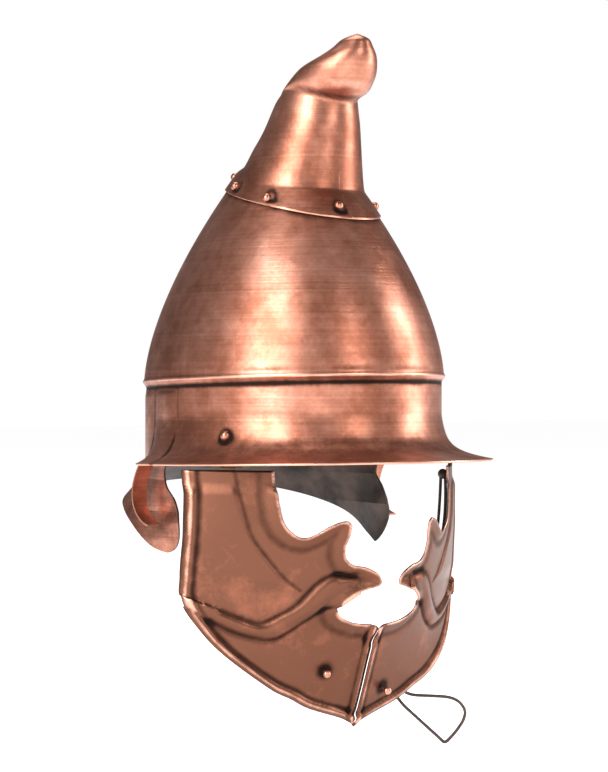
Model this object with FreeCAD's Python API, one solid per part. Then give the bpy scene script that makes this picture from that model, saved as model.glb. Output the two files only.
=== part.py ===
import FreeCAD, Part
import math
import os

# Thracian helmet with a riveted crest cap, a peaked brim, a neck guard and hinged cheekpieces.
# Millimetres. +Z is up, the front faces -Y and the wearer's right is -X. The origin is the
# centre of the head opening, level with the brim's edge at the sides.
# Points are first written as (forward, rightward, up), and place() turns them into (x, y, z).

SHEET = 1.2                     # thickness of all the raised sheet

# ---- skull ----
SKULL_HALF_LENGTH = 112.0       # outer, at the ridge
SKULL_HALF_WIDTH = 89.0
RAKE = 0.026                    # the skull's levels rise this much per unit forward
RIDGE_HEIGHT = 54.0
RIDGE_PROUD = 0.9
DOME_RISE = 177.0               # from the ridge to where the dome would close
DOME_FULLNESS = 1.6             # 1 is a cone, 2 is a round dome
BAND_INSET = 1.4                # the band below the ridge is tucked in
FLARE_TOP = 30.0
BRIM_EDGE = 1.5
BRIM_SIDE = 20.0                # reach of the brim at the ears
BRIM_PEAK = 18.6                # extra reach in front
BRIM_ROOT = 8.0                 # share of the reach made by the slow upper part of the flare
FADE_START = 95.0               # angle from the front where the brim starts to fade
FADE_END = 116.0
FLUTE_COUNT = 10
FLUTE_START = 88.0
FLUTE_PROUD = 1.1

# ---- crest cap ----
CAP_EDGE = 171.0                # height of the cap's lower edge above the centre
CAP_EDGE_FALL = 0.25            # fall of that edge per unit forward
CAP_LAP = 9.5                   # how far the dome runs up inside the cap
CAP_FIT = 0.1
CAP_WIDTH_SHARE = 0.8           # width of the cap's sections against their length
CAP_SIZE = 1.0
CAP_RIVETS = 8
CAP_RIVET_TURN = 7.0
CAP_RIVET_UP = 5.5
RIVET_HEAD = 3.0
RIVET_SHANK = 1.5
RIVET_FIT = 0.05

# ---- neck guard ----
GUARD_TOP = 30.0
GUARD_BEND = -2.2               # below this the guard starts to spread
GUARD_FIT = 0.15
GUARD_SPREAD = 1.8              # outward run per unit down, at the rear
GUARD_SIDE_TUCK = -0.1
GUARD_DROP = 56.0               # depth of the ear lobes below the origin
GUARD_SPREAD_START = 100.0      # angle from the front
EAR_FLANGE_START = 88.5
EAR_FLANGE_END = 98.5

# ---- cheekpieces ----
CHEEK_TOP = -1.0
CHIN_DROP = 162.3
MARGIN_LAP = 1.0                # the left margin crosses the middle, in front of the right one
MARGIN_SETBACK = 2.8

# ---- hinges ----
HINGE_CENTRE = (56.5, 86.0, 2.5)
HINGE_TURN = 48.4               # direction of the hinge's outward side, from the front
HINGE_LENGTH = 26.0
KNUCKLE = 2.2
KNUCKLE_GAP = 0.35
PIN = 1.2
PIN_FIT = 0.05
LEAF = 1.0
TAB_ANGLE = 65.0                # place of the skull leaf's tab, from the front of the head
TAB_WIDTH = 12.0
TAB_TOP = 27.0
HINGE_RIVET_UP = 19.4
HINGE_RIVET_HEAD = 3.5
CHEEK_LEAF_WIDTH = 18.0
CHEEK_LEAF_FOOT = -12.0

# ---- tie studs, lace ----
STUD_RIGHT = (28.7, -124.0)     # across, height
STUD_LEFT = (16.6, -138.0)
STUD_BALL = 2.5
STUD_SHANK = 1.2
STUD_REACH = 5.0
WASHER = 0.8
WASHER_RADIUS = 3.6
LACE = 1.0
KNOT = 3.3
KNOT_CENTRE = (53.6, -82.8, -7.5)
LACE_POINTS = (                 # forward, rightward, up
    (53.2, -81.4, -8.5),
    (53.5, -80.0, -38.0),
    (58.5, -68.0, -75.0),
    (57.0, -58.0, -106.0),
    (54.8, -43.8, -128.0),
    (54.5, -43.0, -141.0),
    (59.2, -49.6, -148.0),
    (67.2, -61.1, -148.4),
    (76.4, -74.2, -149.4),
    (80.5, -80.0, -157.0),
    (79.7, -78.9, -164.0),
    (77.1, -75.3, -170.5),
    (74.6, -71.6, -175.6),
    (72.7, -68.9, -178.8),
    (70.9, -66.3, -175.6),
    (65.4, -58.5, -167.0),
    (61.0, -52.2, -160.0),
    (56.5, -46.0, -153.0),
    (49.5, -44.0, -144.5),
    (49.5, -50.0, -122.0),
    (52.8, -62.0, -96.0),
    (52.5, -73.0, -70.0),
    (55.0, -85.2, -40.0),
    (54.4, -84.1, -8.5),
)

SECTION_POINTS = 120
SLAB = 300.0                    # bigger than the helmet, for cutting


def place(forward, rightward, up):
    return FreeCAD.Vector(-rightward, -forward, up)


def through(stations, at):
    """Smooth curve through (position, value) stations, read at one position."""
    stations = sorted(stations)
    last = len(stations) - 1
    at = min(max(at, stations[0][0]), stations[-1][0])
    i = min(max(k for k in range(last + 1) if stations[k][0] <= at), last - 1)
    x0, y0 = stations[i]
    x1, y1 = stations[i + 1]
    before = stations[max(i - 1, 0)]
    after = stations[min(i + 2, last)]
    slope0 = (y1 - before[1]) / (x1 - before[0])
    slope1 = (after[1] - y0) / (after[0] - x0)
    span = x1 - x0
    t = (at - x0) / span
    return (y0 * (1 + 2 * t) * (1 - t) ** 2 + slope0 * span * t * (1 - t) ** 2
            + y1 * t * t * (3 - 2 * t) - slope1 * span * t * t * (1 - t))


def smooth_step(low, high, at):
    t = min(max((at - low) / (high - low), 0.0), 1.0)
    return t * t * (3 - 2 * t)


def ellipse_frame(half_length, half_width, angle):
    """Point and outward normal of a plan ellipse, at an angle in degrees from the front."""
    turn = math.radians(angle)
    forward = half_length * math.cos(turn)
    rightward = half_width * math.sin(turn)
    nf = forward / half_length ** 2
    nr = rightward / half_width ** 2
    run = math.hypot(nf, nr)
    return forward, rightward, nf / run, nr / run


def closed_wire(points):
    curve = Part.BSplineCurve()
    curve.interpolate(points, PeriodicFlag=True)
    return Part.Wire([curve.toShape()])


def open_edge(points):
    if len(points) == 2:
        return Part.makeLine(points[0], points[1])
    curve = Part.BSplineCurve()
    curve.interpolate(points)
    return curve.toShape()


def inner_section(section, height, thickness):
    """The sheet's inner face: moved in along the plan normal, more where the wall leans."""
    step = 0.25
    here = section(height)
    above = section(height + step)
    below = section(height - step)
    middle = FreeCAD.Vector(0, 0, 0)
    for point in here:
        middle += point * (1.0 / len(here))
    third = len(here) // 3
    level = (here[third] - here[0]).cross(here[2 * third] - here[0])
    inner = []
    for i, point in enumerate(here):
        run = here[(i + 1) % len(here)] - here[i - 1]
        normal = FreeCAD.Vector(run.y, -run.x, 0).normalize()
        if normal.dot(point - middle) < 0:
            normal = normal * -1
        lean = (above[i] - below[i]).dot(normal) / (2 * step)
        normal.z = -level.dot(normal) / level.z
        inner.append(point - normal * thickness * math.sqrt(1 + lean * lean))
    return inner


def stack(sections):
    return Part.makeLoft([closed_wire(s) for s in sections], True, True)


def rod(radius, start, end):
    return Part.makeCylinder(radius, (end - start).Length, start, end - start)


def mirrored(shape):
    return shape.mirror(FreeCAD.Vector(0, 0, 0), FreeCAD.Vector(1, 0, 0))


def export(shape, name):
    if len(shape.Solids) == 1:
        shape = shape.Solids[0]
    shape.exportStep("parts/" + name + ".step")
    print(name, "valid", shape.isValid(), "solids", len(shape.Solids), "volume", round(shape.Volume))


# ---- skull ----

def brim_reach(angle):
    angle = abs(angle)
    front = max(math.cos(math.radians(angle)), 0.0) ** 1.5
    return (BRIM_SIDE + BRIM_PEAK * front) * (1 - smooth_step(FADE_START, FADE_END, angle))


def flute(angle, height):
    turn = (abs(angle) - FLUTE_START) / (360 - 2 * FLUTE_START) * FLUTE_COUNT
    if turn <= 0:
        return 0.0
    return FLUTE_PROUD * math.sin(math.pi * turn) ** 2 * smooth_step(50.0, 44.0, height)


def wall_offset(angle, height):
    """Distance of the wall's outer face from the ridge's ellipse, below the ridge."""
    reach = brim_reach(angle)
    root = min(BRIM_ROOT, 0.4 * reach)
    drop = min(max((FLARE_TOP - height) / (FLARE_TOP - BRIM_EDGE), 0.0), 1.1)
    tuck = -BAND_INSET * smooth_step(RIDGE_HEIGHT - 1, RIDGE_HEIGHT - 4, height)
    return tuck + root * drop ** 1.4 + (reach - root) * drop ** 6 + flute(angle, height)


def skull_section(height):
    rise = max(height - RIDGE_HEIGHT, 0.0) / DOME_RISE
    scale = 1 - rise ** DOME_FULLNESS
    bead = RIDGE_PROUD * max(0.0, 1 - abs(height - RIDGE_HEIGHT) / 2.5)
    points = []
    for i in range(SECTION_POINTS):
        angle = 360.0 * i / SECTION_POINTS
        angle = angle - 360 if angle > 180 else angle
        forward, rightward, nf, nr = ellipse_frame(
            SKULL_HALF_LENGTH * scale, SKULL_HALF_WIDTH * scale, angle)
        offset = wall_offset(angle, height) + bead
        forward += offset * nf
        points.append(place(forward, rightward + offset * nr, height + RAKE * forward))
    return points


def skull_heights():
    flare = [BRIM_EDGE, 1.9, 2.4, 3.1, 4.0, 5.2, 7, 9, 12, 16, 20, 25, 30]
    ridge = [40, 45, 49.5, 51.5, 54, 56.5, 60]
    return flare + ridge + [66 + 9 * i for i in range(16)]


def tilted_slab(height, thickness):
    slab = Part.makeBox(2 * SLAB, 2 * SLAB, thickness, FreeCAD.Vector(-SLAB, -SLAB, 0))
    tilt = math.degrees(math.atan(CAP_EDGE_FALL))
    slab.rotate(FreeCAD.Vector(0, 0, 0), FreeCAD.Vector(1, 0, 0), tilt)
    slab.translate(FreeCAD.Vector(0, 0, height))
    return slab


def make_skull():
    heights = skull_heights()
    outer = stack([skull_section(h) for h in heights])
    foot = [p - FreeCAD.Vector(0, 0, 3) for p in inner_section(skull_section, heights[0], SHEET)]
    inner = stack([foot] + [inner_section(skull_section, h, SHEET) for h in heights])
    return outer.cut(inner).cut(tilted_slab(CAP_EDGE + CAP_LAP, SLAB))


# ---- crest cap ----

def cap_shape(height):
    """Forward shift and half length of the cap's own level section."""
    stations = ((150, 1.0, 58.0), (165, 3.0, 54.0), (177, 4.8, 50.4), (191.6, 12.9, 43.6),
                (203, 17.9, 39.5), (214, 23.5, 34.9), (225, 27.8, 30.4), (228.5, 30.5, 29.0),
                (231.6, 37.0, 31.2), (237.6, 44.5, 30.4), (244, 50.9, 28.1), (254, 61.4, 20.8),
                (261, 67.2, 13.9), (265, 69.6, 9.6), (268.3, 71.4, 4.0))
    shift = through([(s[0], s[1]) for s in stations], height)
    return shift * CAP_SIZE, through([(s[0], s[2]) for s in stations], height) * CAP_SIZE


def dome_reach(centre, turn, height, gap):
    """Distance from (centre, 0) to the raked dome plus a gap, in one plan direction."""
    level = height - RAKE * (centre + 40 * math.cos(turn))
    scale = 1 - (max(level - RIDGE_HEIGHT, 0.0) / DOME_RISE) ** DOME_FULLNESS
    a = SKULL_HALF_LENGTH * scale + gap
    b = SKULL_HALF_WIDTH * scale + gap
    qa = (math.cos(turn) / a) ** 2 + (math.sin(turn) / b) ** 2
    qb = centre * math.cos(turn) / a ** 2
    qc = (centre / a) ** 2 - 1
    return (-qb + math.sqrt(max(qb * qb - qa * qc, 0.0))) / qa


def cap_section(height):
    shift, half = cap_shape(height)
    points = []
    for i in range(72):
        turn = 2 * math.pi * i / 72
        reach = 1 / math.hypot(math.cos(turn) / half, math.sin(turn) / (half * CAP_WIDTH_SHARE))
        if height < 194:
            over = dome_reach(shift, turn, height, (CAP_FIT + SHEET) * 1.38 + 0.15)
            reach = max(reach, over)
        points.append(place(shift + reach * math.cos(turn), reach * math.sin(turn), height))
    return points


def make_cap():
    heights = [146 + 4 * i for i in range(12)]
    heights += [193.5, 197, 203, 209, 214, 220, 225, 228.5, 230, 231.6, 234, 237.6, 241, 244,
                249, 254, 258, 261, 265]
    outer = stack([cap_section(h) for h in heights] + [cap_section(268.3)])
    inner = stack([inner_section(cap_section, h, SHEET) for h in heights])
    return outer.cut(inner).common(tilted_slab(CAP_EDGE, SLAB))


def cap_seats(cap):
    """Point on the cap's face and outward direction of each rivet."""
    seats = []
    for i in range(CAP_RIVETS):
        turn = math.radians(CAP_RIVET_TURN + 360.0 * i / CAP_RIVETS)
        height = CAP_EDGE + CAP_RIVET_UP - CAP_EDGE_FALL * 55 * math.cos(turn)
        reach = [dome_reach(0, turn, height + up, (CAP_FIT + SHEET) * 1.38 + 0.15) for up in (-2, 2)]
        slope = (reach[1] - reach[0]) / 4
        out = place(math.cos(turn), math.sin(turn), -slope).normalize()
        near = place(math.cos(turn) * reach[0], math.sin(turn) * reach[0], height)
        probe = Part.makeLine(near + out * 15, near - out * 15)
        hit = probe.common(cap)
        seat = max((v.Point for v in hit.Vertexes), key=lambda p: p.dot(out))
        seats.append((seat, out))
    return seats


def domed_rivet(head, shank, seat, out, depth, support):
    """Dome head that sits on a sheet's outer face, with a shank through the sheets."""
    start = seat - out * 0.4
    ball = Part.makeSphere(head, start).common(Part.makeCylinder(head * 1.2, head * 1.2, start, out))
    ball = ball.cut(support)
    top = max(ball.Solids, key=lambda s: s.Volume)
    return top.fuse(rod(shank, seat - out * depth, seat + out * 0.8))


# ---- neck guard and ear flanges ----

def guard_section(height):
    points = []
    for i in range(SECTION_POINTS):
        angle = 360.0 * i / SECTION_POINTS
        angle = 360 - angle if angle > 180 else angle
        side = 1 if i <= SECTION_POINTS / 2 else -1
        inset = -BAND_INSET - SHEET - GUARD_FIT
        forward, rightward, nf, nr = ellipse_frame(SKULL_HALF_LENGTH, SKULL_HALF_WIDTH, angle)
        share = (angle - GUARD_SPREAD_START) / (180 - GUARD_SPREAD_START)
        spread = min(max(share, 0.0), 1.0)
        run = GUARD_SIDE_TUCK + (GUARD_SPREAD - GUARD_SIDE_TUCK) * spread
        offset = inset + run * max(GUARD_BEND - height, 0.0)
        points.append(place(forward + offset * nf, side * (rightward + offset * nr), height))
    return points


def side_prism(spans, width):
    """Side-view outline of (forward, up) spans, pushed through the whole helmet's width."""
    edges = [open_edge([place(f, -width, up) for f, up in span]) for span in spans]
    face = Part.Face(Part.Wire(Part.__sortEdges__(edges)))
    return face.extrude(place(0, 2 * width, 0))


def make_guard():
    heights = [GUARD_TOP, GUARD_BEND + 0.3, GUARD_BEND - 0.3, -10, -30, -GUARD_DROP - 6]
    outer = stack([guard_section(h) for h in heights])
    ends = [GUARD_TOP + 2] + heights[1:-1] + [-GUARD_DROP - 8]
    inner = stack([inner_section(guard_section, h, SHEET) for h in ends])
    drop = GUARD_DROP / 56.0
    skirt = [(-150, -8), (-134, -14 * drop), (-107, -22 * drop), (-78.6, -30 * drop),
             (-50, -41.5 * drop), (-34, -51 * drop), (-19, -GUARD_DROP)]
    front = [(-19, -GUARD_DROP), (-9, -50 * drop), (-4.8, -41 * drop), (-5.5, -29.5),
             (-13, -18), (-20, -9), (-17, 0), (-11, 6), (-8, 14)]
    rest = [[(-8, 14), (-8, GUARD_TOP + 5)], [(-8, GUARD_TOP + 5), (-150, GUARD_TOP + 5)],
            [(-150, GUARD_TOP + 5), (-150, -8)]]
    return outer.cut(inner).common(side_prism([skirt, front] + rest, SLAB / 2))


def make_flange(skull):
    """Hook-shaped strip behind the ear, whose upper end meets the underside of the brim."""
    line = [(-8, 9), (-17, 6.5), (-26, 0.8), (-32.8, -8), (-36, -18), (-35, -25),
            (-31, -31), (-25, -35.4), (-17, -38)]
    sides = []
    for sense in (-1, 1):
        side = []
        for i, (forward, up) in enumerate(line):
            before = line[max(i - 1, 0)]
            after = line[min(i + 1, len(line) - 1)]
            run = math.hypot(after[0] - before[0], after[1] - before[1])
            shift = sense * SHEET / 2 / run
            side.append((forward - (after[1] - before[1]) * shift,
                         up + (after[0] - before[0]) * shift))
        sides.append(side)
    spans = [sides[0], [sides[0][-1], sides[1][-1]], sides[1], [sides[1][0], sides[0][0]]]
    edges = [open_edge([place(f, EAR_FLANGE_START, up) for f, up in span]) for span in spans]
    face = Part.Face(Part.Wire(Part.__sortEdges__(edges)))
    strip = face.extrude(place(0, EAR_FLANGE_END - EAR_FLANGE_START, 0)).cut(skull)
    return max(strip.Solids, key=lambda piece: piece.Volume)


# ---- cheekpieces ----

def cheek_forward(across, height, setback):
    """How far forward the cheekpiece's outer face is, above a point of its front view."""
    stations = ((5, 117, .23, .0052), (-30, 117, .23, .0052), (-41, 114, .22, .005),
                (-54, 110, .21, .0048), (-68, 106, .2, .0046), (-85, 101.4, .2, .0042),
                (-97, 94.3, .2, .0034), (-110, 89.1, .2, .0026), (-122, 84.4, .2, .0016),
                (-135, 79.6, .2, .0006), (-162, 69, .2, 0), (-175, 64, .2, 0))
    crown = through([(s[0], s[1]) for s in stations], height)
    lean = through([(s[0], s[2]) for s in stations], height)
    curve = through([(s[0], s[3]) for s in stations], height)
    inward = setback * smooth_step(22, 4, across) * smooth_step(-84, -94, height)
    return crown - lean * across - curve * across ** 2 - inward


def cheek_slope(across, height, setback):
    step = 0.25
    here = cheek_forward(across, height, setback)
    return ((cheek_forward(across + step, height, setback) - here) / step,
            (cheek_forward(across, height + step, setback) - here) / step)


def cheek_face(across, height, setback, depth):
    """Point of the sheet at a depth below its outer face, kept on its own level."""
    over, rise = cheek_slope(across, height, setback)
    run = math.hypot(1, over)
    deep = depth * math.sqrt(1 + (rise / run) ** 2)
    forward = cheek_forward(across, height, setback) - deep / run
    return place(forward, across + deep * over / run, height)


def cheek_sheet(setback):
    wires = []
    for i in range(32):
        height = 5 - (CHIN_DROP + 12) * i / 31
        rows = []
        for depth in (0.0, SHEET):
            rows.append([cheek_face(-5 + 5 * k, height, setback, depth) for k in range(24)])
        outer, inner = rows
        wires.append(Part.Wire(Part.__sortEdges__([
            open_edge(outer), Part.makeLine(outer[-1], inner[-1]),
            open_edge(inner), Part.makeLine(inner[0], outer[0])])))
    return Part.makeLoft(wires, True, True)


def cheek_outline(margin):
    """Spans of the front view as (across, height): eye, nose, moustache, mouth, chin, rear."""
    return [
        [(66.8, CHEEK_TOP), (66.2, -14), (64.7, -26), (62.4, -34), (57.3, -40), (52.3, -41.6),
         (47.2, -39.3), (42.4, -35.6), (36.7, -32.3), (32.2, -31.5), (29.7, -34)],
        [(29.7, -34), (30, -41), (31.4, -47), (30, -54), (25.2, -58.4), (17.5, -60),
         (9.7, -64), (7.1, -68)],
        [(7.1, -68), (8, -71), (18.2, -74.3), (26, -79.6), (30.7, -85)],
        [(30.7, -85), (27.6, -90.3), (17.5, -94.8), (margin + 1.5, -97)],
        [(margin + 1.5, -97), (margin, -100)],
        [(margin, -100), (margin, -CHIN_DROP)],
        [(margin, -CHIN_DROP), (margin + 2, -160), (10, -156), (34, -148), (47.4, -141),
         (60.2, -134.6), (76.8, -122), (89, -110), (97.7, -97.5), (105, -82), (106.5, -65),
         (105.5, -40), (105, -15), (105.4, CHEEK_TOP)],
        [(105.4, CHEEK_TOP), (66.8, CHEEK_TOP)],
    ]


def make_cheek(margin, setback, stud):
    edges = [open_edge([place(0, w, up) for w, up in span]) for span in cheek_outline(margin)]
    face = Part.Face(Part.Wire(Part.__sortEdges__(edges)))
    plate = cheek_sheet(setback).common(face.extrude(place(SLAB / 2, 0, 0)))
    seat, out = cheek_seat(stud, setback)
    return plate.cut(rod(STUD_SHANK + RIVET_FIT, seat - out * 5, seat + out * 3))


def cheek_seat(stud, setback):
    across, height = stud
    over, rise = cheek_slope(across, height, setback)
    out = place(1, -over, -rise).normalize()
    return place(cheek_forward(across, height, setback), across, height), out


def make_stud(stud, setback):
    seat, out = cheek_seat(stud, setback)
    back = seat - out * (SHEET + 0.1)
    foot = back - out * (WASHER + 0.05)
    shank = rod(STUD_SHANK, foot - out * 0.4, seat + out * STUD_REACH)
    peen = rod(STUD_SHANK * 1.6, foot - out * 0.9, foot)
    body = shank.fuse([Part.makeSphere(STUD_BALL, seat + out * STUD_REACH), peen])
    ring = rod(WASHER_RADIUS, back - out * WASHER, back)
    return body, ring.cut(rod(STUD_SHANK + RIVET_FIT, foot - out * 2, seat))


# ---- hinges ----

def hinge_point(out, along, up):
    """Point in the hinge's own directions: outward, along its pin towards the rear, and up."""
    turn = math.radians(HINGE_TURN)
    forward, rightward, height = HINGE_CENTRE
    return place(forward + out * math.cos(turn) - along * math.sin(turn),
                 rightward + out * math.sin(turn) + along * math.cos(turn), height + up)


def hinge_block(out, along, up):
    """Box between two limits in each of the hinge's directions."""
    corners = [hinge_point(out[0], along[0], up[0]), hinge_point(out[1], along[0], up[0]),
               hinge_point(out[1], along[1], up[0]), hinge_point(out[0], along[1], up[0])]
    face = Part.Face(Part.makePolygon(corners + [corners[0]]))
    return face.extrude(FreeCAD.Vector(0, 0, up[1] - up[0]))


def knuckle(start, end):
    return rod(KNUCKLE, hinge_point(0, start, 0), hinge_point(0, end, 0))


def pin_bore():
    half = HINGE_LENGTH / 2 + 2
    return rod(PIN + PIN_FIT, hinge_point(0, -half, 0), hinge_point(0, half, 0))


def tab_point(offset, along, up):
    forward, rightward, nf, nr = ellipse_frame(SKULL_HALF_LENGTH, SKULL_HALF_WIDTH, TAB_ANGLE)
    return place(forward + offset * nf - along * nr, rightward + offset * nr + along * nf, up)


def tab_offset(up):
    level = up - RAKE * SKULL_HALF_LENGTH * math.cos(math.radians(TAB_ANGLE))
    return wall_offset(TAB_ANGLE, level) - SHEET * 1.15 - 0.4


def hinge_rivet_seat():
    level = HINGE_RIVET_UP - RAKE * SKULL_HALF_LENGTH * math.cos(math.radians(TAB_ANGLE))
    slope = (wall_offset(TAB_ANGLE, level + 1) - wall_offset(TAB_ANGLE, level - 1)) / 2
    seat = tab_point(wall_offset(TAB_ANGLE, level), 0, HINGE_RIVET_UP)
    out = tab_point(1, 0, 0) - tab_point(0, 0, 0) - FreeCAD.Vector(0, 0, slope)
    return seat, out.normalize()


def make_skull_leaf():
    half = HINGE_LENGTH / 2
    third = HINGE_LENGTH / 6
    foot = HINGE_CENTRE[2] - LEAF / 2
    inner = tab_offset(12) - 0.6
    base = [hinge_point(0, -half, 0), hinge_point(0, half, 0),
            tab_point(inner, TAB_WIDTH / 2, 0), tab_point(inner, -TAB_WIDTH / 2, 0)]
    base = [FreeCAD.Vector(p.x, p.y, foot) for p in base]
    plate = Part.Face(Part.makePolygon(base + [base[0]])).extrude(FreeCAD.Vector(0, 0, LEAF))
    plate = plate.cut(hinge_block((-KNUCKLE - 0.4, 9), (-third - KNUCKLE_GAP, third + KNUCKLE_GAP),
                                  (-5, 5)))
    levels = [12, 16, HINGE_RIVET_UP, 23, TAB_TOP]
    outer = [(tab_offset(12), foot)] + [(tab_offset(z), z) for z in levels]
    profile = outer + [(offset - LEAF, z) for offset, z in outer[::-1]]
    corners = [tab_point(offset, -TAB_WIDTH / 2, z) for offset, z in profile]
    across = tab_point(0, TAB_WIDTH / 2, 0) - tab_point(0, -TAB_WIDTH / 2, 0)
    tab = Part.Face(Part.makePolygon(corners + [corners[0]])).extrude(across)
    barrels = [knuckle(-half, -third - KNUCKLE_GAP), knuckle(third + KNUCKLE_GAP, half)]
    leaf = plate.fuse([tab] + barrels).cut(pin_bore())
    seat, out = hinge_rivet_seat()
    return leaf.cut(rod(RIVET_SHANK + RIVET_FIT, seat - out * 12, seat + out * 5))


def make_cheek_leaf():
    third = HINGE_LENGTH / 6
    foot = CHEEK_LEAF_FOOT - HINGE_CENTRE[2]
    neck = hinge_block((-LEAF + 0.12, 0.12), (-third, third), (foot, 0))
    wide = hinge_block((-LEAF + 0.12, 0.12), (-CHEEK_LEAF_WIDTH / 2, CHEEK_LEAF_WIDTH / 2),
                       (foot, -KNUCKLE - 1.5))
    return knuckle(-third, third).fuse([neck, wide]).cut(pin_bore())


def make_pin():
    half = HINGE_LENGTH / 2 + 0.05
    heads = [rod(PIN * 1.6, hinge_point(0, s * half, 0), hinge_point(0, s * (half + 1), 0))
             for s in (-1, 1)]
    return rod(PIN, hinge_point(0, -half - 0.5, 0), hinge_point(0, half + 0.5, 0)).fuse(heads)


def make_hinge_rivet(skull):
    seat, out = hinge_rivet_seat()
    rivet = domed_rivet(HINGE_RIVET_HEAD, RIVET_SHANK, seat, out, 2 + SHEET + LEAF, skull)
    inner = seat - out * (SHEET + 0.45 + LEAF + 0.45)
    return rivet.fuse(rod(RIVET_SHANK * 1.7, inner - out * 0.9, inner))


# ---- chin lace ----

def lace_path():
    """Straight runs joined by tangent arcs, each arc as large as its shorter run allows."""
    points = [place(*p) for p in LACE_POINTS]
    edges = []
    at = points[0]
    for i in range(1, len(points) - 1):
        corner = points[i]
        back = points[i - 1] - corner
        ahead = points[i + 1] - corner
        turn = math.pi - back.getAngle(ahead)
        cut = 0.45 * min(back.Length, ahead.Length)
        radius = cut / math.tan(turn / 2)
        print("lace turn", i, "run", round(ahead.Length, 1),
              "degrees", round(math.degrees(turn)), "radius", round(radius, 1))
        back.normalize()
        ahead.normalize()
        start = corner + back * cut
        end = corner + ahead * cut
        bisector = (back + ahead).normalize()
        middle = corner + bisector * (radius / math.cos(turn / 2) - radius)
        edges.append(Part.makeLine(at, start))
        edges.append(Part.Arc(start, middle, end).toShape())
        at = end
    edges.append(Part.makeLine(at, points[-1]))
    return Part.Wire(edges)


def make_lace():
    path = lace_path()
    first = place(*LACE_POINTS[0])
    along = place(*LACE_POINTS[1]) - first
    ring = Part.Wire([Part.makeCircle(LACE, first, along)])
    lace = path.makePipeShell([ring], True, False)
    share = lace.Volume / (math.pi * LACE ** 2 * path.Length)
    print("lace length", round(path.Length, 1), "volume share", round(share, 4))
    return lace


def main():
    os.makedirs("parts", exist_ok=True)
    skull = make_skull()
    cap = make_cap()
    seats = cap_seats(cap)
    bores = [rod(RIVET_SHANK + RIVET_FIT, seat - out * 9, seat + out * 4) for seat, out in seats]
    seat, out = hinge_rivet_seat()
    hinge_bore = rod(RIVET_SHANK + RIVET_FIT, seat - out * 12, seat + out * 5)
    rivets = [domed_rivet(RIVET_HEAD, RIVET_SHANK, seat, out, 5.5, cap) for seat, out in seats]
    hinge_rivet = make_hinge_rivet(skull)
    export(skull.cut(bores + [hinge_bore, mirrored(hinge_bore)]), "skull_shell")
    export(cap.cut(bores), "crest_cap")
    export(Part.makeCompound(rivets), "crest_rivets")
    export(make_guard(), "neck_guard")
    lace = make_lace()
    export(lace, "chin_lace")
    export(Part.makeSphere(KNOT, place(*KNOT_CENTRE)), "lace_knot")
    right_stud = make_stud(STUD_RIGHT, MARGIN_SETBACK)
    left_stud = make_stud(STUD_LEFT, 0.0)
    pieces = [(make_flange(skull), "ear_flange_"), (make_skull_leaf(), "hinge_skull_leaf_"),
              (make_cheek_leaf(), "hinge_cheek_leaf_"), (make_pin(), "hinge_pin_"),
              (hinge_rivet, "hinge_skull_rivet_")]
    for shape, name in pieces:
        export(shape, name + "right")
        export(mirrored(shape), name + "left")
    export(make_cheek(0.0, MARGIN_SETBACK, STUD_RIGHT), "cheekpiece_right")
    export(mirrored(make_cheek(-MARGIN_LAP, 0.0, STUD_LEFT)), "cheekpiece_left")
    export(right_stud[0], "tie_stud_right")
    export(mirrored(left_stud[0]), "tie_stud_left")
    export(right_stud[1], "stud_washer_right")
    export(mirrored(left_stud[1]), "stud_washer_left")


main()
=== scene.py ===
# %% [markdown]
# # A copper helmet with a riveted crest, a peaked brim and hinged cheekpieces
# The metal sheets are 1.2 mm thick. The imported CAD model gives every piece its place, and the
# large raised sheets are drawn again here as fine grids, so that beads, lips and grooves show.
# Lengths are metres, +Z is up, the helmet faces -Y and the wearer's right is -X.
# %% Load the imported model
import math
import bpy
import numpy as np
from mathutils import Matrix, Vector, geometry


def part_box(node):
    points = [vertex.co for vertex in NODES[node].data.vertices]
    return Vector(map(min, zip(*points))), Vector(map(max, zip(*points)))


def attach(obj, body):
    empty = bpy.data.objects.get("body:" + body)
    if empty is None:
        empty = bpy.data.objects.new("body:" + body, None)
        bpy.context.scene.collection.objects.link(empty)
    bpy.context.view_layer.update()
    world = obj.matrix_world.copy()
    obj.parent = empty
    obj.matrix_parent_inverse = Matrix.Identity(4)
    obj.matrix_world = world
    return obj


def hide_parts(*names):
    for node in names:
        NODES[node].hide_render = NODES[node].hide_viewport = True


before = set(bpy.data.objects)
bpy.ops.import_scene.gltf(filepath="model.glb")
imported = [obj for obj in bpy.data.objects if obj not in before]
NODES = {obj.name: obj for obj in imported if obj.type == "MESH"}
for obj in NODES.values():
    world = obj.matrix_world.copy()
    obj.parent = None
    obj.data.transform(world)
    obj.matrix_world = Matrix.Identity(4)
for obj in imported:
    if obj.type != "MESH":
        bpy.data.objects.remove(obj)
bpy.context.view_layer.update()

MM = 0.001
SHEET = 1.2 * MM

# %% [markdown]
# Shader maths reads best as ordinary expressions. A thin wrapper round a socket adds one Math
# node for each operator, and one method makes every other kind of node.
# %% Sockets that can be added and multiplied


class Paint:
    """One output socket of a material being built."""

    def __init__(self, maker, socket):
        self.maker = maker
        self.socket = socket

    def math(self, operation, other, swap=False):
        first, second = (other, self) if swap else (self, other)
        return self.maker.node("ShaderNodeMath", {"operation": operation}, {0: first, 1: second})

    def __add__(self, other):
        return self.math("ADD", other)

    def __mul__(self, other):
        return self.math("MULTIPLY", other)

    def __sub__(self, other):
        return self.math("SUBTRACT", other)

    def __rsub__(self, other):
        return self.math("SUBTRACT", other, swap=True)

    def __rmul__(self, other):
        return self.math("MULTIPLY", other)

    def __radd__(self, other):
        return self.math("ADD", other)


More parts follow.
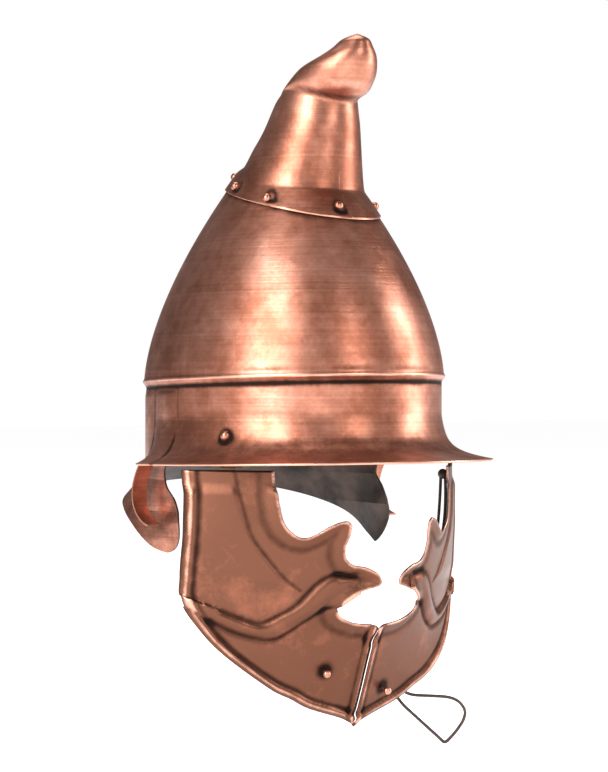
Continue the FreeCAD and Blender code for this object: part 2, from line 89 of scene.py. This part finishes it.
class Finish:
    """A material with one Principled shader, built up node by node."""

    def __init__(self, name, metallic, roughness):
        self.material = bpy.data.materials.new(name)
        self.material.use_nodes = True
        self.tree = self.material.node_tree
        self.shader = self.tree.nodes["Principled BSDF"]
        self.shader.inputs["Metallic"].default_value = metallic
        self.shader.inputs["Roughness"].default_value = roughness

    def node(self, kind, settings=None, values=None, output=0):
        made = self.tree.nodes.new(kind)
        for key, value in (settings or {}).items():
            if key == "stops":
                self.stops(made.color_ramp, value)
            else:
                setattr(made, key, value)
        for key, value in (values or {}).items():
            self.feed(made.inputs[key], value)
        return Paint(self, made.outputs[output])

    def stops(self, ramp, stops):
        while len(ramp.elements) < len(stops):
            ramp.elements.new(0.5)
        for element, (place, colour) in zip(ramp.elements, stops):
            element.position = place
            element.color = (*colour, 1)

    def feed(self, socket, value):
        if isinstance(value, Paint):
            self.tree.links.new(value.socket, socket)
        else:
            socket.default_value = value

    def mix(self, share, under, over):
        """Colour mix: share of the plain colour over the linked one."""
        return self.node("ShaderNodeMix", {"data_type": "RGBA"},
                         {0: share, 6: under, 7: (*over, 1)}, output=2)

    def place(self, scale):
        spot = self.node("ShaderNodeTexCoord", output=3)
        return self.node("ShaderNodeVectorMath", {"operation": "MULTIPLY"}, {0: spot, 1: scale})

    def cloud(self, scale, detail, rough):
        """Noise between 0 and 1, with its own scale along each axis."""
        return self.node("ShaderNodeTexNoise", {}, {"Vector": self.place(scale), "Scale": 1.0,
                         "Detail": detail, "Roughness": rough})

    def fade(self, value, low, high):
        return self.node("ShaderNodeMapRange", {"interpolation_type": "SMOOTHSTEP"},
                         {0: value, 1: low, 2: high, 3: 0.0, 4: 1.0})

    def bump(self, height, distance, strength):
        made = self.node("ShaderNodeBump", {}, {"Height": height, "Distance": distance,
                         "Strength": strength})
        self.feed(self.shader.inputs["Normal"], made)


# %% [markdown]
# Antiqued copper is dipped dark and then rubbed back. Dark brown stays in the grooves, the open
# faces turn orange-brown with darker clouds, and the crests that are rubbed most shine pink.
# Each drawn sheet carries one value at every vertex: 0 in a groove, 1 on a crest. The same value
# also holds painted shade, lowered round rivets and the stud, under the cap's edge and lobe and
# across the brim's flare, and painted highlights, raised on the front of the crest cap.
# %% The copper
BLACK = (0.012, 0.008, 0.007)
UMBER = (0.060, 0.024, 0.016)
PATINA = (0.148, 0.060, 0.037)
BROWN = (0.30, 0.108, 0.065)
COPPER = (0.51, 0.222, 0.152)
PINK = (0.82, 0.44, 0.33)


def antique_copper(name, brushed, shine, lift=-0.06):
    """Brushed is the scale of the polishing lines, and lift lightens the colour."""
    metal = Finish(name, 1.0, shine)
    rubbed = metal.node("ShaderNodeAttribute", {"attribute_name": "rubbed"}, output=2)
    clouds = metal.cloud((13, 13, 15), detail=8, rough=0.62)
    mottle = metal.cloud((75, 75, 75), detail=6, rough=0.66)
    grain = metal.cloud(brushed, detail=4, rough=0.7)
    specks = metal.cloud((420, 420, 420), detail=3, rough=0.7)
    tone = clouds * 0.62 + mottle * 0.26 + grain * 0.16 + specks * 0.06 + lift
    colour = metal.node("ShaderNodeValToRGB", {"stops": [
        (0.30, PATINA), (0.44, BROWN), (0.56, COPPER), (0.72, PINK)]}, {0: tone})
    # Pink goes where the value is high, umber and black where it is low: rubbed crests and patina
    # in the grooves, and also painted highlight and painted shade.
    wear_shade_highlight = metal.fade(rubbed + (mottle - 0.5) * 0.35, 0.78, 1.0)
    colour = metal.mix(wear_shade_highlight * 0.75, colour, PINK)
    patina_and_shade = 1 - metal.fade(rubbed + (mottle - 0.5) * 0.45 + (grain - 0.5) * 0.1, 0.05, 0.52)
    colour = metal.mix(patina_and_shade * 0.94, colour, UMBER)
    deep_patina_and_shade = 1 - metal.fade(rubbed + (mottle - 0.5) * 0.2, 0.0, 0.22)
    colour = metal.mix(deep_patina_and_shade * 0.9, colour, BLACK)
    metal.feed(metal.shader.inputs["Base Color"], colour)
    metal.feed(metal.shader.inputs["Roughness"], shine + patina_and_shade * 0.25 + (1 - clouds) * 0.16)
    metal.bump(grain * 0.5 + mottle * 0.9 + specks * 0.25, 0.00035, 0.55)
    return metal.material


COPPER_SHEET = antique_copper("antique copper sheet", (2.5, 2.5, 620.0), 0.30)
COPPER_CHASED = antique_copper("antique copper cheek", (90.0, 40.0, 60.0), 0.31, lift=-0.27)
COPPER_HEADS = antique_copper("antique copper rivet", (200.0, 200.0, 200.0), 0.26)
print("copper finishes made")

# %% [markdown]
# The inside is unpolished and nearly black. The hinges are dull dark brass, and the lace is
# dark brown waxed leather with no metal in it.
# %% The inside, the hinges and the lace


def dull(name, dark, light, metallic, roughness, grain):
    finish = Finish(name, metallic, roughness)
    clouds = finish.cloud(grain, detail=6, rough=0.6)
    colour = finish.node("ShaderNodeValToRGB", {"stops": [(0.35, dark), (0.68, light)]},
                         {0: clouds})
    finish.feed(finish.shader.inputs["Base Color"], colour)
    finish.bump(clouds, 0.0003, 0.5)
    return finish.material


INSIDE = dull("blackened inside", dark=(0.014, 0.011, 0.010), light=(0.085, 0.055, 0.045),
              metallic=0.7, roughness=0.55, grain=(40, 40, 40))
HINGE = dull("dull hinge brass", dark=(0.05, 0.03, 0.02), light=(0.22, 0.13, 0.07),
             metallic=1.0, roughness=0.45, grain=(120, 120, 120))
LACE = dull("lace leather", dark=(0.022, 0.012, 0.008), light=(0.075, 0.040, 0.026),
            metallic=0.0, roughness=0.62, grain=(500, 500, 900))
print("dull finishes made")

# %% [markdown]
# Every sheet is a grid of points on its outer face. Solidify gives it its thickness inwards, and
# puts the dark finish on the inner side.
# %% Grids and sheets


def lerp_through(stations, at):
    """Smooth curve through (position, value) stations."""
    last = len(stations) - 1
    at = min(max(at, stations[0][0]), stations[-1][0])
    i = min(max(k for k in range(last + 1) if stations[k][0] <= at), last - 1)
    (x0, y0), (x1, y1) = stations[i], stations[i + 1]
    before, after = stations[max(i - 1, 0)], stations[min(i + 2, last)]
    slope0 = (y1 - before[1]) / (x1 - before[0])
    slope1 = (after[1] - y0) / (after[0] - x0)
    span = x1 - x0
    t = (at - x0) / span
    return (y0 * (1 + 2 * t) * (1 - t) ** 2 + slope0 * span * t * (1 - t) ** 2
            + y1 * t * t * (3 - 2 * t) - slope1 * span * t * t * (1 - t))


def ease(low, high, at):
    t = min(max((at - low) / (high - low), 0.0), 1.0)
    return t * t * (3 - 2 * t)


def hump(at, centre, width):
    return math.exp(-((at - centre) / width) ** 2)


def point(forward, rightward, up):
    """Millimetres in the wearer's directions to metres in the helmet's frame."""
    return (-rightward * MM, -forward * MM, up * MM)


def sheet_piece(name, verts, faces, rubbed, node, body, outer, thick=SHEET):
    mesh = bpy.data.meshes.new(name)
    mesh.from_pydata(verts, [], faces)
    mesh.polygons.foreach_set("use_smooth", [True] * len(mesh.polygons))
    mesh.attributes.new("rubbed", "FLOAT", "POINT").data.foreach_set("value", rubbed)
    mesh.materials.append(outer)
    mesh.materials.append(INSIDE)
    piece = bpy.data.objects.new(name, mesh)
    bpy.context.scene.collection.objects.link(piece)
    skin = piece.modifiers.new("sheet thickness", "SOLIDIFY")
    skin.thickness = thick
    skin.offset = -1
    skin.material_offset = 1
    skin.material_offset_rim = 0
    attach(piece, body)
    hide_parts(node)
    print(name, "points", len(verts), "faces", len(faces))


def ring_faces(rows, count):
    """Quads of a stack of closed rings, counted from the lowest."""
    faces = []
    for j in range(rows - 1):
        for i in range(count):
            k = (i + 1) % count
            faces.append((j * count + i, (j + 1) * count + i, (j + 1) * count + k, j * count + k))
    return faces


# %% [markdown]
# ## The skull
# The skull was raised from one sheet: a pointed dome, a sharp ridge, a tucked-in band and a brim
# hammered out in front. Behind the ears the band is fluted. A stack of rings follows the same
# formula as the CAD part, with the ridge crisper and the flutes deeper.
# %% Sizes of the skull
HALF_LENGTH = 112.0
HALF_WIDTH = 89.0
RAKE = 0.026
RIDGE = 54.0
DOME_RISE = 177.0
BRIM_EDGE = 1.5
FLARE_TOP = 30.0
BRIM_SIDE = 20.0
BRIM_PEAK = 18.6
BRIM_ENDS = (95, 116)
BRIM_ROOT = 8.0
BRIM_LEAST = 4
BAND_TUCK = 1.4
RIDGE_BEAD = 1.0
FLUTES = 10
FLUTE_START = 88.0
FLUTE_DEPTH = 1.1
FLUTE_FADE = (50, 44)
CAP_EDGE = 171.0
CAP_FALL = 0.25
CAP_LAP = 9.5


def ellipse(scale, angle):
    """A spot on the scaled ellipse and the direction square to it."""
    turn = math.radians(angle)
    forward = HALF_LENGTH * scale * math.cos(turn)
    rightward = HALF_WIDTH * scale * math.sin(turn)
    nf, nr = forward / HALF_LENGTH ** 2, rightward / HALF_WIDTH ** 2
    run = math.hypot(nf, nr)
    return forward, rightward, nf / run, nr / run


def dome_scale(height):
    """Share of the ridge's ellipse that is left at a height."""
    return 1 - (max(height - RIDGE, 0.0) / DOME_RISE) ** 1.6


def skull_wall(angle, height):
    """Offset from the ridge's ellipse in millimetres, and how worn the copper is, with painted
    shade on the brim's flare.
    """
    side = abs(angle)
    front = max(math.cos(math.radians(side)), 0.0)
    reach = (BRIM_SIDE + BRIM_PEAK * front ** 1.5) * (1 - ease(*BRIM_ENDS, side))
    flared = reach > BRIM_LEAST
    root = min(BRIM_ROOT, 0.4 * reach)
    drop = min(max((FLARE_TOP - height) / (FLARE_TOP - BRIM_EDGE), 0.0), 1.0)
    offset = root * drop ** 1.4 + (reach - root) * drop ** 6
    offset -= BAND_TUCK * ease(RIDGE - 1, RIDGE - 4, height)
    rubbed = 0.62
    turn = (side - FLUTE_START) / (360 - 2 * FLUTE_START) * FLUTES
    if turn > 0:
        wave = abs(math.sin(math.pi * turn))
        depth = ease(*FLUTE_FADE, height)
        offset += FLUTE_DEPTH * wave * depth
        rubbed += depth * (0.25 * wave - 0.5 * hump(wave, 0, 0.3))
    offset += RIDGE_BEAD * hump(height, RIDGE, 1.3)
    rubbed += 0.4 * hump(height, RIDGE, 1.5)
    rubbed -= 0.62 * hump(height, RIDGE - 4.5, 2.4) + 0.3 * hump(height, RIDGE + 4, 2.2)
    # Painted shade: a darker band across the middle of the brim's flare.
    rubbed -= 0.30 * ease(0.25, 0.6, drop) * (1 - ease(0.8, 0.95, drop)) * flared
    rubbed += 0.5 * ease(0.985, 1.0, drop) * flared
    return offset, rubbed


# %% The skull's rings
SKULL_COUNT = 300


def skull_levels():
    """Ring heights, closest at the brim's edge and round the ridge."""
    low = [BRIM_EDGE + 28.5 * (i / 26) ** 1.9 for i in range(27)]
    band = [31.5 + 1.5 * i for i in range(10)]
    ridge = [46 + 0.75 * i for i in range(22)]
    return low + band + ridge + [63 + 3.2 * i for i in range(38)]


def cap_height(forward):
    return CAP_EDGE - CAP_FALL * forward


hinge_heads = [sum(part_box("hinge_skull_rivet_" + side), Vector()) / 2
               for side in ("right", "left")]
verts, rubbed = [], []
levels = skull_levels()
for height in levels:
    for i in range(SKULL_COUNT):
        angle = 360.0 * i / SKULL_COUNT
        angle = angle - 360 if angle > 180 else angle
        forward, rightward, nf, nr = ellipse(dome_scale(height), angle)
        offset, wear_shade_highlight = skull_wall(angle, height)
        forward += offset * nf
        up = height + RAKE * forward
        up = min(up, cap_height(forward) + CAP_LAP - 2)
        spot = Vector(point(forward, rightward + offset * nr, up))
        # Painted shadow: a dark band just below the crest cap's edge, and painted shade in rings
        # round the hinge rivet heads.
        wear_shade_highlight -= 0.55 * hump(up, cap_height(forward), 4.0)
        wear_shade_highlight -= 0.55 * max(hump((spot - head).length / MM, 3.5, 3.2) for head in hinge_heads)
        verts.append(spot)
        rubbed.append(min(max(wear_shade_highlight, 0.0), 1.0))
faces = ring_faces(len(levels), SKULL_COUNT)
sheet_piece("raised_skull", verts, faces, rubbed, "skull_shell", "helmet",
            COPPER_SHEET)

# %% [markdown]
# ## The crest cap
# A separate cone of sheet sits over the open top of the dome, held by a row of rivets. It leans
# forwards, and its round lobe hangs over a crease that is lowest in the middle of the front.
# %% The crest cap
CAP_COUNT = 200
CAP_SHEET = 0.9 * MM
CAP_GAP = 1.9
CAP_WIDTH = 0.8
DOME_END = 191
CREASE_DROP = 8
RIVETS = 8
FIRST_RIVET = 7
RIVET_ROW = 5.5
CAP_SHIFT = ((150, 1.0), (165, 3.0), (177, 4.8), (191.6, 12.9), (203, 17.9), (214, 23.5),
             (225, 27.8), (228.5, 30.5), (231.6, 37.0), (237.6, 44.5), (244, 50.9), (254, 61.4),
             (261, 67.2), (265, 69.6), (268.3, 71.4))
CAP_HALF = ((150, 58.0), (165, 54.0), (177, 50.4), (191.6, 43.6), (203, 39.5), (214, 34.9),
            (225, 30.4), (228.5, 29.0), (231.6, 31.2), (237.6, 30.4), (244, 28.1), (254, 20.8),
            (261, 13.9), (265, 9.6), (268.3, 0.6))


def dome_reach(centre, turn, height, gap):
    """Reach from a centre out to the dome's ellipse, grown by a gap."""
    level = height - RAKE * (centre + 40 * math.cos(turn))
    a = HALF_LENGTH * dome_scale(level) + gap
    b = HALF_WIDTH * dome_scale(level) + gap
    qa = (math.cos(turn) / a) ** 2 + (math.sin(turn) / b) ** 2
    qb = centre * math.cos(turn) / a ** 2
    return (-qb + math.sqrt(max(qb * qb - qa * ((centre / a) ** 2 - 1), 0.0))) / qa


rivet_turns = [math.radians(FIRST_RIVET + 360 / RIVETS * i) for i in range(RIVETS)]
cap_levels = [146 + 1.5 * i for i in range(82)] + [267, 267.8, 268.2]


def cap_reach(turn, height):
    """Centre and reach of the cap's level section, outside the dome it laps over."""
    shift, half = lerp_through(CAP_SHIFT, height), lerp_through(CAP_HALF, height)
    reach = 1 / math.hypot(math.cos(turn) / half, math.sin(turn) / (half * CAP_WIDTH))
    over = dome_reach(shift, turn, min(height, DOME_END), CAP_GAP) * (1 - ease(188, 212, height))
    return shift, max(reach, over)


def cap_edge(turn):
    """Height of the tilted lower edge, found in a few steps."""
    height = CAP_EDGE
    for _ in range(8):
        shift, reach = cap_reach(turn, height)
        height = cap_height(shift + reach * math.cos(turn))
    return height


edges = [cap_edge(2 * math.pi * i / CAP_COUNT) for i in range(CAP_COUNT)]
verts, rubbed = [], []
for level in cap_levels:
    for i in range(CAP_COUNT):
        turn = 2 * math.pi * i / CAP_COUNT
        share = (level - cap_levels[0]) / (cap_levels[-1] - cap_levels[0])
        height = edges[i] + (cap_levels[-1] - edges[i]) * share
        shift, reach = cap_reach(turn, height)
        forward, rightward = shift + reach * math.cos(turn), reach * math.sin(turn)
        vee = ease(205, 228, height) * (1 - ease(236, 262, height))
        up = height + CREASE_DROP * math.sin(turn) ** 2 * vee
        above = up - cap_height(forward)
        wear_shade_highlight = 0.60 + 0.5 * hump(above, 0, 0.9) - 0.25 * hump(above, 3.2, 1.6)
        # Painted shade under the lobe's overhang at the front, and a painted highlight band on
        # the front of the lobe.
        wear_shade_highlight -= 0.45 * hump(height, 229.5, 2.2) * ease(-0.3, 0.7, math.cos(turn))
        wear_shade_highlight += 0.25 * hump(height, 236, 4.5) * ease(0.0, 0.8, math.cos(turn))
        # Painted shade: dark rings round the crest rivets.
        swing = min(abs(math.remainder(turn - t, 2 * math.pi)) for t in rivet_turns) * reach
        wear_shade_highlight -= 0.5 * hump(math.hypot(swing, above - RIVET_ROW), 3.4, 2.4)
        # Painted highlight: a light line down the front of the cap's neck.
        wear_shade_highlight += 0.3 * hump(rightward, 2, 1.2) * (forward > shift) * (1 - ease(180, 226, height))
        verts.append(point(forward, rightward, up))
        rubbed.append(min(max(wear_shade_highlight, 0.0), 1.0))
faces = ring_faces(len(cap_levels), CAP_COUNT)
faces.append(tuple(range((len(cap_levels) - 1) * CAP_COUNT, len(cap_levels) * CAP_COUNT))[::-1])
sheet_piece("crest_cone", verts, faces, rubbed, "crest_cap", "helmet",
            COPPER_SHEET, thick=CAP_SHEET)

# %% [markdown]
# ## The cheekpieces
# Each cheekpiece was cut from sheet and chased from both sides into a moustache and beard. The
# outline is filled with small triangles, and each point is then pushed forwards by the relief:
# a bead along the rear, an out-turned lip round the eye and mouth, and the moustache's roll.
# %% Outline of a cheekpiece, in its front view
CHIN = -162.0
EYE = [(66.8, -1), (66.2, -14), (64.7, -26), (62.4, -34), (57.3, -40), (52.3, -41.6),
       (47.2, -39.3), (42.4, -35.6), (36.7, -32.3), (32.2, -31.5), (29.7, -34)]
NOSE = [(29.7, -34), (30, -41), (31.4, -47), (30, -54), (25.2, -58.4), (17.5, -60), (9.7, -64),
        (7.1, -68)]
LIP = [(7.1, -68), (8, -71), (18.2, -74.3), (26, -79.6), (30.7, -85)]
REAR = [(10, -156), (34, -148), (47.4, -141), (60.2, -134.6), (76.8, -122), (89, -110),
        (97.7, -97.5), (105, -82), (106.3, -65), (105.5, -40), (105, -15), (105.4, -1)]
MOUSTACHE_TOP = [(87, -86), (77.5, -90.5), (68.2, -93.6), (59.4, -88.7), (51.6, -82.2),
                 (46, -74.3), (40.4, -67.6), (33, -64), (22.3, -65)]
MOUSTACHE_FOOT = [(92, -92), (81.6, -98.6), (71, -102.5), (61, -103.8), (52.4, -99), (45.7, -93),
                  (37, -85), (31, -84)]
CHEEK_STEP = [(85.3, -1), (82, -21), (77.6, -40), (69.8, -53.6), (59.8, -67), (52.7, -73.6)]
STATIONS = (-175, -162, -135, -122, -110, -97, -85, -68, -54, -41, -30, 5)
CROWN = (64, 69, 79.6, 84.4, 89.1, 94.3, 101.4, 106, 110, 114, 117, 117)
LEAN = (0.2,) * 8 + (0.21, 0.22, 0.23, 0.23)
CURVE = (0, 0, 0.0006, 0.0016, 0.0026, 0.0034, 0.0042, 0.0046, 0.0048, 0.005, 0.0052, 0.0052)
STEP_FOOT = -74
ARM_FLAT = (-16, -8)
REAR_BEAD = 1.5
LIP_TURN = 2.2
EDGE_BEAD = 0.9
ROLL = 3.2
GROOVE = 1.2
STEP = 1.8


def cheek_forward(across, height, setback):
    """How far forward the bent sheet lies, with the edge that laps under set back."""
    crown, lean, curve = (lerp_through(list(zip(STATIONS, values)), height)
                          for values in (CROWN, LEAN, CURVE))
    inward = setback * (1 - ease(4, 22, across)) * (1 - ease(-94, -84, height))
    return crown - lean * across - curve * across ** 2 - inward


def smooth_line(points, step=1.2):
    """Catmull-Rom line through given points, in short steps."""
    line = []
    for i in range(len(points) - 1):
        p = [Vector(points[min(max(k, 0), len(points) - 1)]) for k in (i - 1, i, i + 1, i + 2)]
        count = max(int((p[2] - p[1]).length / step), 1)
        for t in (k / count for k in range(count)):
            line.append(0.5 * (2 * p[1] + (p[2] - p[0]) * t
                               + (2 * p[0] - 5 * p[1] + 4 * p[2] - p[3]) * t * t
                               + (3 * p[1] - p[0] - 3 * p[2] + p[3]) * t ** 3))
    return line + [Vector(points[-1])]


def gap_to(line, spots):
    """Signed distance of each spot to a line; positive lies on the line's left."""
    line = np.array([tuple(p) for p in line])
    line = line[np.r_[True, (np.diff(line, axis=0) ** 2).sum(1) > 1e-9]]
    a, b = line[:-1], line[1:]
    run = b - a
    rel = spots[:, None, :] - a[None]
    t = np.clip((rel * run).sum(2) / (run ** 2).sum(1), 0, 1)
    off = rel - t[..., None] * run
    size = np.sqrt((off ** 2).sum(2))
    near = size.argmin(1)
    pick = np.arange(len(spots))
    cross = run[near, 0] * rel[pick, near, 1] - run[near, 1] * rel[pick, near, 0]
    return size[pick, near] * np.sign(cross)


# %% Relief of a cheekpiece


def bell(x, centre, width):
    return np.exp(-((x - centre) / width) ** 2)


def np_ease(low, high, x):
    t = np.clip((x - low) / (high - low), 0, 1)
    return t * t * (3 - 2 * t)


def relief(spots, edge_lines, stud):
    """Forward push in millimetres and the wear value, with painted shade round the stud, of every
    spot of the front view.
    """
    lips, rear, margin = (np.abs(gap_to(line, spots)) for line in edge_lines)
    top = gap_to(smooth_line(MOUSTACHE_TOP), spots)
    foot = gap_to(smooth_line(MOUSTACHE_FOOT), spots)
    step = gap_to(smooth_line(CHEEK_STEP), spots)
    across, height = spots[:, 0], spots[:, 1]
    push = REAR_BEAD * np.sqrt(np.clip(1 - ((rear - 2.4) / 2.5) ** 2, 0, 1))
    push -= 0.6 * bell(rear, 6.4, 1.3)
    push += LIP_TURN * (1 - np_ease(0.0, 6.0, lips)) - 0.8 * bell(lips, 7.8, 2.0)
    push += EDGE_BEAD * bell(margin, 2.2, 1.4) - 0.4 * bell(margin, 5.0, 1.2)
    roll = np.clip(np.minimum(top, -foot), 0, 9)
    inside = (top > 0) & (foot < 0) & (across > 20)
    band = np.where(inside, np.sqrt(np.clip(roll / 7.0, 0, 1)), 0.0)
    push += ROLL * band
    groove = bell(np.abs(top), 0, 1.8) + bell(np.abs(foot), 0, 1.8) * (height < -80)
    push -= GROOVE * groove
    above = height > STEP_FOOT
    raised = np_ease(-1.6, 1.6, step) * above * np_ease(STEP_FOOT - 2, STEP_FOOT + 8, height)
    push += STEP * raised
    rubbed = 0.58 + 0.36 * bell(rear, 2.4, 1.5) - 0.5 * bell(rear, 6.2, 1.8)
    rubbed += 0.36 * (1 - np_ease(0.0, 3.5, lips)) - 0.34 * bell(lips, 7.2, 2.6)
    rubbed += 0.35 * bell(margin, 2.0, 1.2) - 0.4 * bell(margin, 5.0, 1.5)
    rubbed += 0.2 * band - 0.5 * groove
    rubbed -= (0.4 * bell(step, -1.2, 1.6) - 0.2 * bell(step, 1.8, 1.6)) * above
    # Painted shade: a dark ring round the tie stud.
    halo = np.hypot(across - stud[0], height - stud[1])
    rubbed -= 0.6 * bell(halo, 2.0, 4.0)
    push *= 1 - np_ease(*ARM_FLAT, height)  # the arm's end clears the brim when it swings out
    return push * np_ease(-2.5, 1.5, rear), np.clip(rubbed, 0, 1)


# %% Filling and bending a cheekpiece
GRID = 1.15


def cheekpiece(side, word, margin, setback, stud):
    """Side is 1 for the wearer's right, and margin is where the sheet ends at the middle."""
    mouth = [(30.7, -85), (27.6, -90.3), (17.5, -94.8), (margin + 1.5, -97), (margin, -100)]
    lips = [smooth_line(p) for p in (EYE, NOSE, LIP, mouth)]
    centre = smooth_line([(margin, -100), (margin, CHIN)])
    rear = smooth_line([(margin, CHIN), (margin + 2, -160)] + REAR)
    loop = sum((line[:-1] for line in lips + [centre, rear, smooth_line([REAR[-1], EYE[0]])]), [])
    border = np.array([tuple(p) for p in loop])
    xs, ys = np.meshgrid(np.arange(margin - 1, 108, GRID), np.arange(CHIN - 1, 0, GRID * 0.9))
    xs[::2] += GRID / 2
    grid = np.column_stack([xs.ravel(), ys.ravel()])
    closed = [tuple(p) for p in border] + [tuple(border[0])]
    grid = grid[np.abs(gap_to(closed, grid)) > GRID * 0.6]
    points = [Vector(p) for p in border] + [Vector(p) for p in grid]
    edges = [(i, (i + 1) % len(border)) for i in range(len(border))]
    flat, _, faces, _, _, _ = geometry.delaunay_2d_cdt(points, edges, [], 1, 1e-5)
    spots = np.array([tuple(p) for p in flat])
    push, wear_shade_highlight = relief(spots, (sum(lips, []), rear, centre), stud)
    verts = []
    for (across, height), out in zip(spots, push):
        forward = cheek_forward(across, height, setback) + out
        verts.append(point(forward, across * side, height))
    faces = [tuple(f)[::-side] for f in faces]
    sheet_piece("chased_cheek_" + word, verts, faces, wear_shade_highlight, "cheekpiece_" + word,
                "cheek_" + word, COPPER_CHASED)


cheekpiece(1, "right", margin=0.0, setback=2.8, stud=(28.7, -124.0))
cheekpiece(-1, "left", margin=-1.0, setback=0.0, stud=(16.6, -138.0))

# %% [markdown]
# ## Plain pieces
# The neck guard, the rolled ear flanges, rivets, studs and hinges keep their CAD shape. They
# only need a finish, and one even wear value in place of the drawn sheets' changing one, which
# also carries painted shade and highlights.
# %% Finish the CAD pieces


def finish_node(name, material, rubbed=0.5):
    mesh = NODES[name].data
    mesh.materials.clear()
    mesh.materials.append(material)
    values = [rubbed] * len(mesh.vertices)
    mesh.attributes.new("rubbed", "FLOAT", "POINT").data.foreach_set("value", values)


finish_node("neck_guard", COPPER_SHEET, 0.34)
guard = NODES["neck_guard"].data
guard.materials.append(INSIDE)
for face in guard.polygons:
    outward = face.normal.x * face.center.x + face.normal.y * face.center.y
    face.material_index = 0 if outward > 0 else 1
finish_node("crest_rivets", COPPER_HEADS, 0.85)
finish_node("lace_knot", LACE)
finish_node("chin_lace", LACE)
finish_node("skull_shell", COPPER_SHEET, 0.6)
finish_node("crest_cap", COPPER_SHEET, 0.6)
for side in ("right", "left"):
    finish_node("ear_flange_" + side, COPPER_SHEET, 0.62)
    finish_node("cheekpiece_" + side, COPPER_CHASED, 0.6)
    for name in ("hinge_skull_rivet_", "tie_stud_", "stud_washer_"):
        finish_node(name + side, COPPER_HEADS, 0.88)
    for name in ("hinge_skull_leaf_", "hinge_cheek_leaf_", "hinge_pin_"):
        finish_node(name + side, HINGE)

# %% [markdown]
# ## The chin lace
# The lace is one limp loop of round leather. It starts and ends in a knot behind the left arm,
# runs down inside the cheekpiece and hangs out below it, so it rides on that cheekpiece.
# %% The lace
LACE_RADIUS = 1.0 * MM
LACE_ROUTE = [(53.2, -81.4, -8.5), (53.5, -80.0, -38.0), (58.5, -68.0, -75.0),
              (57.0, -58.0, -106.0), (54.8, -43.8, -128.0), (54.5, -43.0, -141.0),
              (59.2, -49.6, -148.0), (67.2, -61.1, -148.4), (76.4, -74.2, -149.4),
              (80.5, -80.0, -157.0), (79.7, -78.9, -164.0), (77.1, -75.3, -170.5),
              (74.6, -71.6, -175.6), (72.7, -68.9, -178.8), (70.9, -66.3, -175.6),
              (65.4, -58.5, -167.0), (61.0, -52.2, -160.0), (56.5, -46.0, -153.0),
              (49.5, -44.0, -144.5), (49.5, -50.0, -122.0), (52.8, -62.0, -96.0),
              (52.5, -73.0, -70.0), (55.0, -85.2, -40.0), (54.4, -84.1, -8.5)]
curve = bpy.data.curves.new("chin lace", "CURVE")
curve.dimensions = "3D"
curve.bevel_depth = LACE_RADIUS
curve.bevel_resolution = 4
curve.use_fill_caps = True
spline = curve.splines.new("NURBS")
spline.points.add(len(LACE_ROUTE) - 1)
for spot, route in zip(spline.points, LACE_ROUTE):
    spot.co = (*point(*route), 1)
spline.order_u = 3
spline.use_endpoint_u = True
spline.resolution_u = 12
curve.materials.append(LACE)
lace = bpy.data.objects.new("leather_lace", curve)
bpy.context.scene.collection.objects.link(lace)
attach(lace, "cheek_left")
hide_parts("chin_lace")
point(*LACE_ROUTE[0])
print("lace points", len(LACE_ROUTE))

# %% [markdown]
# ## Studio
# A pale floor and a white surround give soft reflections. A large key light stands to the left,
# a weaker one to the right, and a strip from above picks out the dome.
# %% Floor and lights
FLOOR = -0.1802
FLOOR_HALF = 9
GLOW = 0.8
REFLECTED = (0.20, 0.20, 0.20, 1)
WHITE = (1.0, 1.0, 1.0, 1)
floor_mesh = bpy.data.meshes.new("floor")
corners = [(x * FLOOR_HALF, y * FLOOR_HALF, FLOOR)
           for x, y in ((-1, -1), (1, -1), (1, 1), (-1, 1))]
floor_mesh.from_pydata(corners, [], [(0, 1, 2, 3)])
paper = Finish("pale paper", 0.0, 0.9)
paper.shader.inputs["Base Color"].default_value = (0.9, 0.9, 0.9, 1)
paper.shader.inputs["Emission Color"].default_value = WHITE
paper.shader.inputs["Emission Strength"].default_value = GLOW
floor_mesh.materials.append(paper.material)
floor = bpy.data.objects.new("floor", floor_mesh)
bpy.context.scene.collection.objects.link(floor)

world = bpy.data.worlds.new("studio")
bpy.context.scene.world = world
world.use_nodes = True
sky = world.node_tree.nodes["Background"]
seen = world.node_tree.nodes.new("ShaderNodeLightPath")
tint = world.node_tree.nodes.new("ShaderNodeMix")
tint.data_type = "RGBA"
tint.inputs[6].default_value = REFLECTED
tint.inputs[7].default_value = WHITE
world.node_tree.links.new(seen.outputs["Is Camera Ray"], tint.inputs[0])
world.node_tree.links.new(tint.outputs[2], sky.inputs["Color"])


def lamp(name, place, target, size, watts):
    """A rectangular area light aimed at a point."""
    light = bpy.data.lights.new(name, "AREA")
    light.shape = "RECTANGLE"
    light.size, light.size_y = size
    light.energy = watts
    holder = bpy.data.objects.new(name, light)
    holder.location = place
    holder.rotation_euler = (Vector(target) - Vector(place)).to_track_quat("-Z", "Y").to_euler()
    bpy.context.scene.collection.objects.link(holder)


lamp("key", (-1.6, -0.3, 0.8), (0, 0, 0.05), (0.6, 1.5), 40)
lamp("front", (-0.2, -1.9, 0.9), (0, 0, 0.05), (0.30, 1.2), 15)
lamp("fill", (1.5, -0.9, 0.5), (0, 0, 0.0), (0.5, 1.5), 24)
lamp("top", (0.1, 0.3, 1.6), (0, 0, 0.1), (1.0, 1.0), 16)
lamp("low", (-0.9, -1.2, -0.02), (0, 0, -0.08), (0.5, 0.25), 2)

# %% Camera
AZIMUTH = math.radians(35)
DISTANCE = 1.3
LENS = 93.3
SENSOR = 36
SIDE = 0.0081
LEVEL = 0.0497
camera = bpy.data.objects.new("camera", bpy.data.cameras.new("camera"))
bpy.context.scene.collection.objects.link(camera)
camera.data.lens = LENS
camera.data.sensor_width = SENSOR
camera.location = (-math.sin(AZIMUTH) * DISTANCE + math.cos(AZIMUTH) * SIDE,
                   -math.cos(AZIMUTH) * DISTANCE - math.sin(AZIMUTH) * SIDE, LEVEL)
camera.rotation_euler = (math.pi / 2, 0, -AZIMUTH)
bpy.context.scene.camera = camera
bpy.context.scene.view_settings.view_transform = "Standard"
